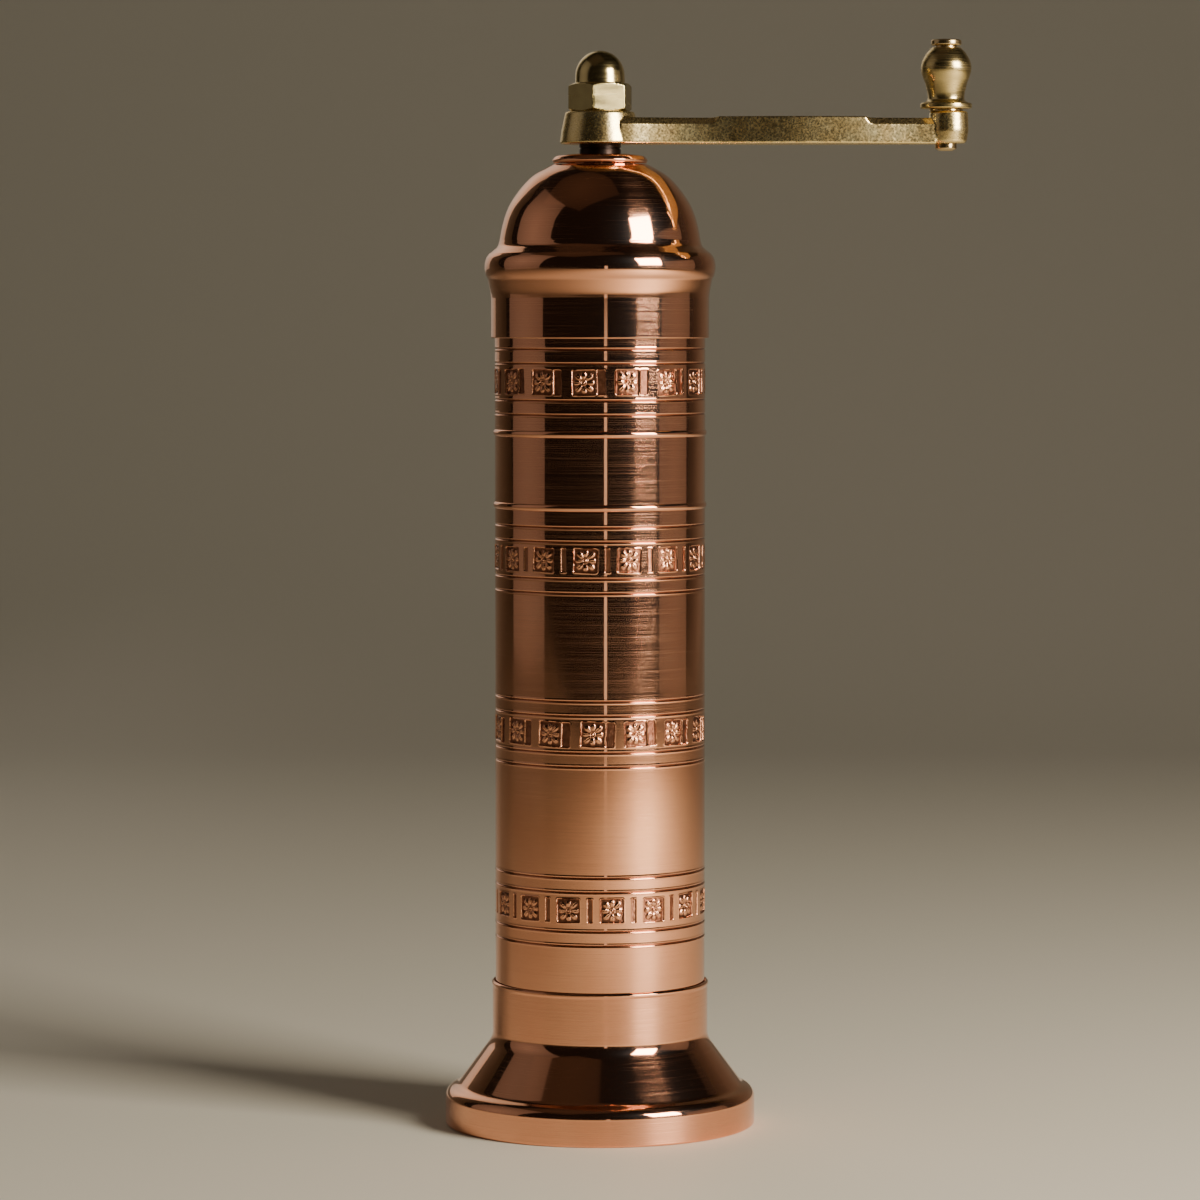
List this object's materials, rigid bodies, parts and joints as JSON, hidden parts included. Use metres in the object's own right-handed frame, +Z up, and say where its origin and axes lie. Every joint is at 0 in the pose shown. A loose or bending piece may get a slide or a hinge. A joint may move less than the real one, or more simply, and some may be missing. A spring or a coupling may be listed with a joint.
{
  "type": "hand coffee mill",
  "caption": "Slim cylindrical copper hand coffee mill with engraved bands, flared foot, domed lid and a top crank with a turned knob.",
  "frame": {"origin": "centre of the foot's resting face, on the mill's axis", "axes": "+Z up along the mill's axis; +X along the crank towards the knob at rest; +Y completes the right-handed frame, away from the viewer who has the knob on the right"},
  "size_m": [0.119, 0.0704, 0.2457],
  "materials": {
    "spun_copper": "copper-plated brass sheet, spun and polished",
    "engraved_copper": "copper-plated brass tube, engraved, darkened in the cuts",
    "tinned_plate": "tinned sheet, dull",
    "brass_ring": "turned",
    "cast_iron": "as cast, machined on the mating faces",
    "burr_steel": "hardened and ground",
    "screw_steel": "turned steel",
    "strap_steel": "cold-rolled strap",
    "shaft_steel": "turned and ground",
    "ball_steel": "polished bearing ball",
    "black_steel": "blackened steel, satin",
    "cast_brass": "sand-cast brass, tumbled and polished",
    "turned_brass": "turned and polished",
    "nut_brass": "dull hexagon, polished dome",
    "knob_copper": "copper-plated, turned"
  },
  "bodies": {
    "foot": {"foot_shell": "spun_copper", "base_plate": "tinned_plate", "seat_ring": "brass_ring"},
    "body": {"body_tube": "engraved_copper", "burr_carrier": "cast_iron", "stator_burr": "burr_steel", "stator_screws": "screw_steel", "bridge_posts": "screw_steel", "bearing_bridge": "strap_steel", "bridge_screws": "screw_steel", "lock_nut": "screw_steel", "shaft_guide": "cast_iron", "guide_screws": "screw_steel"},
    "thrust": {"thrust_pad": "shaft_steel", "thrust_ball": "ball_steel"},
    "adjuster": {"adjust_screw": "screw_steel", "adjust_wheel": "turned_brass"},
    "rotor": {"rotor_burr": "burr_steel"},
    "lid": {"lid_dome": "spun_copper", "bearing_bush": "spun_copper", "bush_nut": "turned_brass"},
    "crank": {"drive_shaft": "shaft_steel", "shaft_collar": "black_steel", "collar_pin": "screw_steel", "crank_arm": "cast_brass", "acorn_nut": "nut_brass", "knob_washer": "knob_copper", "knob_pin": "knob_copper"},
    "knob": {"knob": "turned_brass"}
  },
  "joints": [
    {"name": "foot_pull", "type": "slide", "parent": "foot", "child": "body", "axis": [0, 0, 1], "range_m": [0, 0.035]},
    {"name": "adjust_travel", "type": "slide", "parent": "body", "child": "thrust", "axis": [0, 0, 1], "range_m": [-0.0005, 0.0005]},
    {"name": "adjust_turn", "type": "hinge", "parent": "thrust", "child": "adjuster", "pos_m": [0, 0, 0.0305], "axis": [0, 0, 1], "range_deg": [-200, 200]},
    {"name": "rotor_turn", "type": "hinge", "parent": "thrust", "child": "rotor", "pos_m": [0, 0, 0.0585], "axis": [0, 0, 1], "continuous": true},
    {"name": "lid_lift", "type": "slide", "parent": "body", "child": "lid", "axis": [0, 0, 1], "range_m": [0, 0.145]},
    {"name": "crank_turn", "type": "hinge", "parent": "lid", "child": "crank", "pos_m": [0, 0, 0.2221], "axis": [0, 0, 1], "continuous": true},
    {"name": "knob_spin", "type": "hinge", "parent": "crank", "child": "knob", "pos_m": [0.07795, 0, 0.23005], "axis": [0, 0, 1], "continuous": true}
  ],
  "couplings": [
    {"joint": "rotor_turn", "follows": "crank_turn", "ratio": 1},
    {"joint": "adjust_turn", "follows": "adjust_travel", "rad_per_m": 6283.2}
  ]
}
